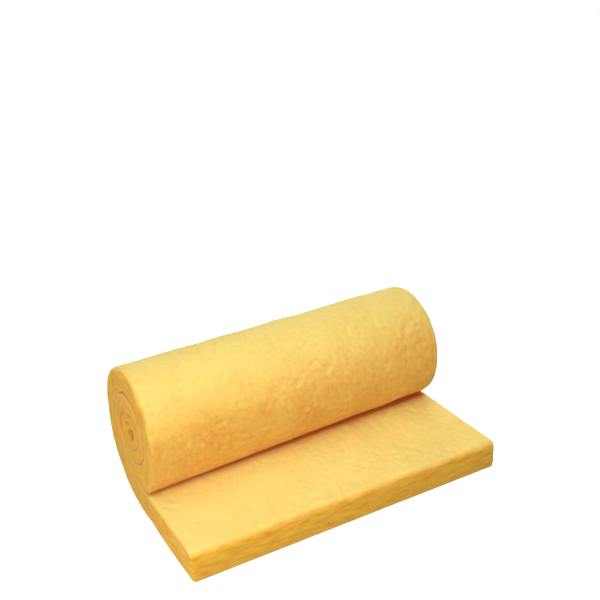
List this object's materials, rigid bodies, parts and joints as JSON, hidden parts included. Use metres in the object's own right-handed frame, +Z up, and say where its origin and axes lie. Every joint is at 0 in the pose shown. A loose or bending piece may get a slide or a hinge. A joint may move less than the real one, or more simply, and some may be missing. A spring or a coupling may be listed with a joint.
{
  "type": "glass wool insulation roll",
  "caption": "Yellow glass wool insulation mat, most of it wound in a roll, its free end lying flat as a leaf in front of the roll.",
  "frame": {"origin": "on the floor, at the middle of the mat's plan outline, which lies on the leaf's underside", "axes": "+X along the roll's axis, which is the mat's width; the flat leaf runs towards -Y; +Z up"},
  "size_m": [1.2, 0.7724, 0.534],
  "materials": {
    "glass_wool": "matte, fibrous, warm yellow"
  },
  "bodies": {
    "root": {"glass_wool_mat": "glass_wool"}
  },
  "joints": []
}
